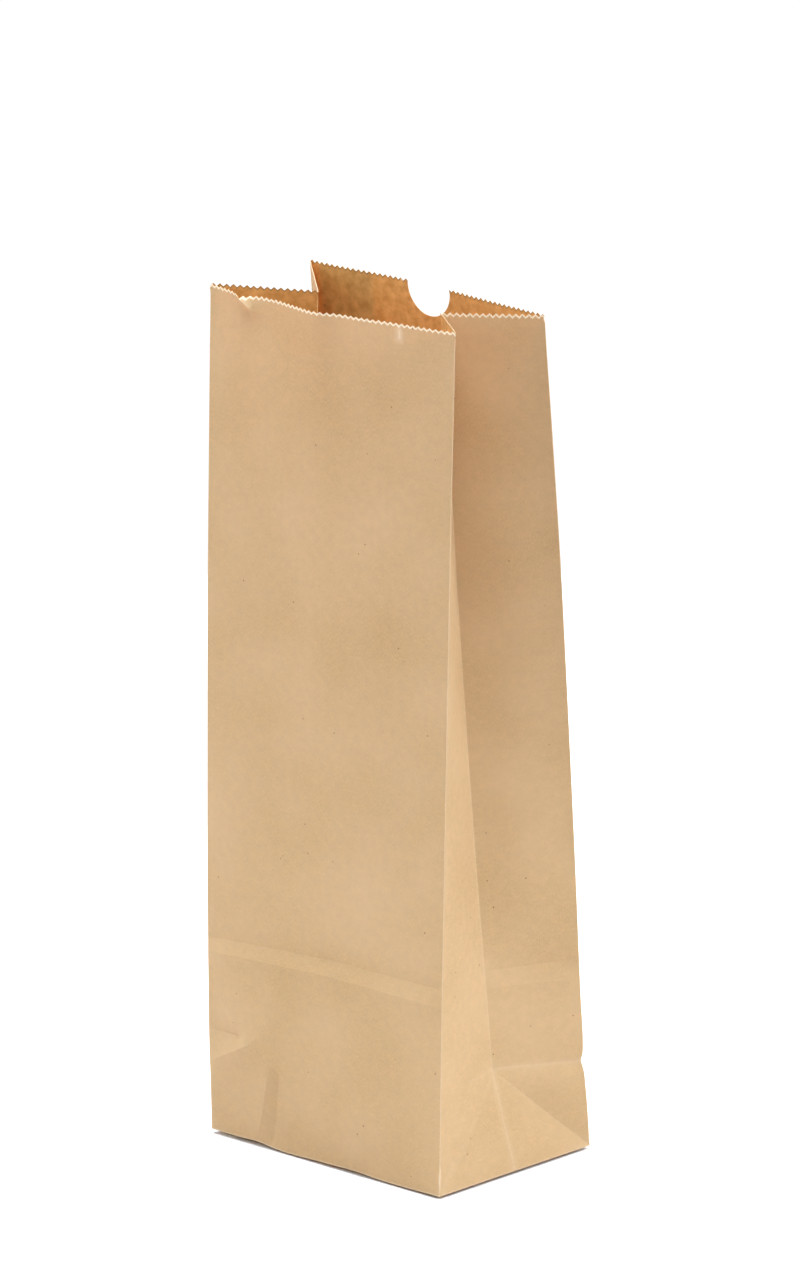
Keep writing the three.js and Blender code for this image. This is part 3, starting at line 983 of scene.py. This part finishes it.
# the inner skin's torn rim, painted dark brown
INNER_RIM_PAINTED_DARK = linear("a07034")
BARK = linear("6f4a2a")
GLOW_LIGHT = linear("f2a852")
GLOW_DARK = linear("e08e40")
SHEET_IN_METRES = (SHEET * MM, (GRID_TOP + FLAP) * MM, 1)
FORMATION_SIZE = 3.5  # mm: the clouds that paper shows against the light
DRIFT_SIZE = 45  # mm: the slow change of colour over the sheet
FIBRE_SIZE = 0.5  # mm: a real fibre is far finer, but this is as fine as shows
NOISE_ROUGHNESS = 0.55
# Noise seldom leaves the middle of 0 to 1, so these parts of it are spread over the whole range.
FORMATION_RANGE, FIBRE_RANGE, DRIFT_RANGE, INSIDE_PAINTED_GLOW_RANGE = (0.3, 0.7), (0.25, 0.75), (0.3, 0.8), (0.35, 0.65)

kraft, tree = new_material("unbleached_kraft_paper")
own_map = add_node(tree, "ShaderNodeUVMap", uv_map="sheet")
in_metres = add_node(tree, "ShaderNodeMapping", {"Vector": own_map.outputs[0]}, Scale=SHEET_IN_METRES)
place = in_metres.outputs[0]


def cloud(feature_mm, stretch=1.0, detail=3.0, shift=0.0):
    """Noise whose clouds are about this many millimetres across, and stretch times as long up the sheet."""
    scale = (1 / (feature_mm * MM), 1 / (feature_mm * stretch * MM), 1)
    finer = add_node(tree, "ShaderNodeMapping", {"Vector": place}, Scale=scale, Location=(shift, shift, 0))
    at = {"Vector": finer.outputs[0]}
    texture = add_node(tree, "ShaderNodeTexNoise", at, Scale=1, Detail=detail, Roughness=NOISE_ROUGHNESS)
    return texture.outputs[0]


def spread(value, low, high):
    """Maps low..high to 0..1."""
    node = add_node(tree, "ShaderNodeMapRange", {"Value": value}, From_Min=low, From_Max=high)
    return node.outputs[0]


def blend(share, first, second):
    """Mixes two colours, each a socket or a colour, by a socket that gives the second one's share."""
    node = add_node(tree, "ShaderNodeMix", data_type="RGBA")
    for socket, colour in ((node.inputs[6], first), (node.inputs[7], second)):
        if isinstance(colour, tuple):
            socket.default_value = colour
        else:
            tree.links.new(colour, socket)
    tree.links.new(share, node.inputs[0])
    return node.outputs[2]


formation = cloud(FORMATION_SIZE)
drift = cloud(DRIFT_SIZE, detail=2, shift=3)
fibres = cloud(FIBRE_SIZE, stretch=2.0, shift=11)
clouds = spread(formation, *FORMATION_RANGE)
print("paper pattern nodes", len(tree.nodes))

# %% [markdown]
# ## From patterns to colours
# Fibres and a slow drift give the ground colour. On the inner skin the clouds do, as painted shade and
# painted orange light from the light that comes through the paper. Specks of bark lie on it. Over that
# come the wear on the folds and the torn edges, whose line is made ragged by noise: pale fibres and a
# painted highlight outside, painted dark brown inside.

# %% Paper colour
SPECK_SPACING = 9  # mm
SPECK = (0.045, 0.02)  # where a speck begins and is full, as shares of the spacing from its middle
RAGGED_SIZE, RAGGED_DEPTH = 0.8, 0.8  # mm, and how much of the rim's width the torn line wanders over
# the torn rim's pale colour is loose fibres and a painted highlight; on the inner skin it is painted dark
TORN = (0.2, 0.45)  # pale fibres begin at the first torn value and are full at the second
INNER_RIM_DARKENING = (-0.3, -0.9)  # and the dark ones inside at these
worn_value = add_node(tree, "ShaderNodeAttribute", attribute_name="worn").outputs["Fac"]
torn_value = add_node(tree, "ShaderNodeAttribute", attribute_name="torn").outputs["Fac"]
ground = blend(spread(fibres, *FIBRE_RANGE), KRAFT_DARK, KRAFT_LIGHT)
inside_value = add_node(tree, "ShaderNodeAttribute", attribute_name="inside").outputs["Fac"]
ground = blend(spread(drift, *DRIFT_RANGE), ground, KRAFT_LIGHT)
# the inner skin: painted shade and painted orange light, in the clouds that show against the light
ground = blend(inside_value, ground, blend(spread(formation, *INSIDE_PAINTED_GLOW_RANGE), INSIDE_PAINTED_GLOW_DARK, INSIDE_PAINTED_GLOW_LIGHT))
specks = add_node(tree, "ShaderNodeTexVoronoi", {"Vector": place}, Scale=1 / (SPECK_SPACING * MM))
ground = blend(spread(specks.outputs["Distance"], *SPECK), ground, BARK)
skin = blend(worn_value, ground, FIBRE_PALE)
wander = add_node(tree, "ShaderNodeMath", {0: cloud(RAGGED_SIZE, shift=5)}, operation="MULTIPLY_ADD")
wander.inputs[1].default_value = RAGGED_DEPTH
wander.inputs[2].default_value = -RAGGED_DEPTH / 2
ragged = add_node(tree, "ShaderNodeMath", {0: wander.outputs[0], 1: torn_value})
torn_share = spread(ragged.outputs[0], *TORN)
# outside, pale fibres and a painted highlight; inside, painted dark brown
skin = blend(torn_share, skin, TORN_FIBRES_AND_HIGHLIGHT)
skin = blend(spread(torn_value, *INNER_RIM_DARKENING), skin, INNER_RIM_PAINTED_DARK)
glow_colour = blend(clouds, GLOW_DARK, GLOW_LIGHT)
# the light through the rim takes the same pale and dark colours
glow_colour = blend(torn_share, glow_colour, TORN_FIBRES_AND_HIGHLIGHT)
glow_colour = blend(spread(torn_value, 0, -1), glow_colour, INNER_RIM_PAINTED_DARK)
print("colours done, nodes", len(tree.nodes))

# %% [markdown]
# ## The shader
# The fibres also lift the surface by a few hundredths of a millimetre, too fine for geometry, so a bump
# does it. Then the rough surface and the light that comes through are mixed.

# %% Paper shader
RELIEF, RELIEF_STRENGTH = 0.05, 0.25  # mm
PAPER_ROUGHNESS = 0.82
THROUGH = 0.29  # how much of the light the paper lets through
relief = add_node(
    tree, "ShaderNodeBump", {"Height": fibres}, Strength=RELIEF_STRENGTH, Distance=RELIEF * MM
)
coat = {"Base Color": skin, "Normal": relief.outputs[0]}
face = add_node(tree, "ShaderNodeBsdfPrincipled", coat, Roughness=PAPER_ROUGHNESS)
through = add_node(tree, "ShaderNodeBsdfTranslucent", {"Color": glow_colour})
paper = add_node(tree, "ShaderNodeMixShader", {1: face.outputs[0], 2: through.outputs[0]}, Fac=THROUGH)
add_node(tree, "ShaderNodeOutputMaterial", {"Surface": paper.outputs[0]})
bag.data.materials.append(kraft)
print("kraft paper nodes", len(tree.nodes))

# %% [markdown]
# ## Handing over
# The paper rides on the part's only body, stands for the part's one node and fills its one material slot.

# %% Finish
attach(bag, "root")
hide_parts("paper_bag")
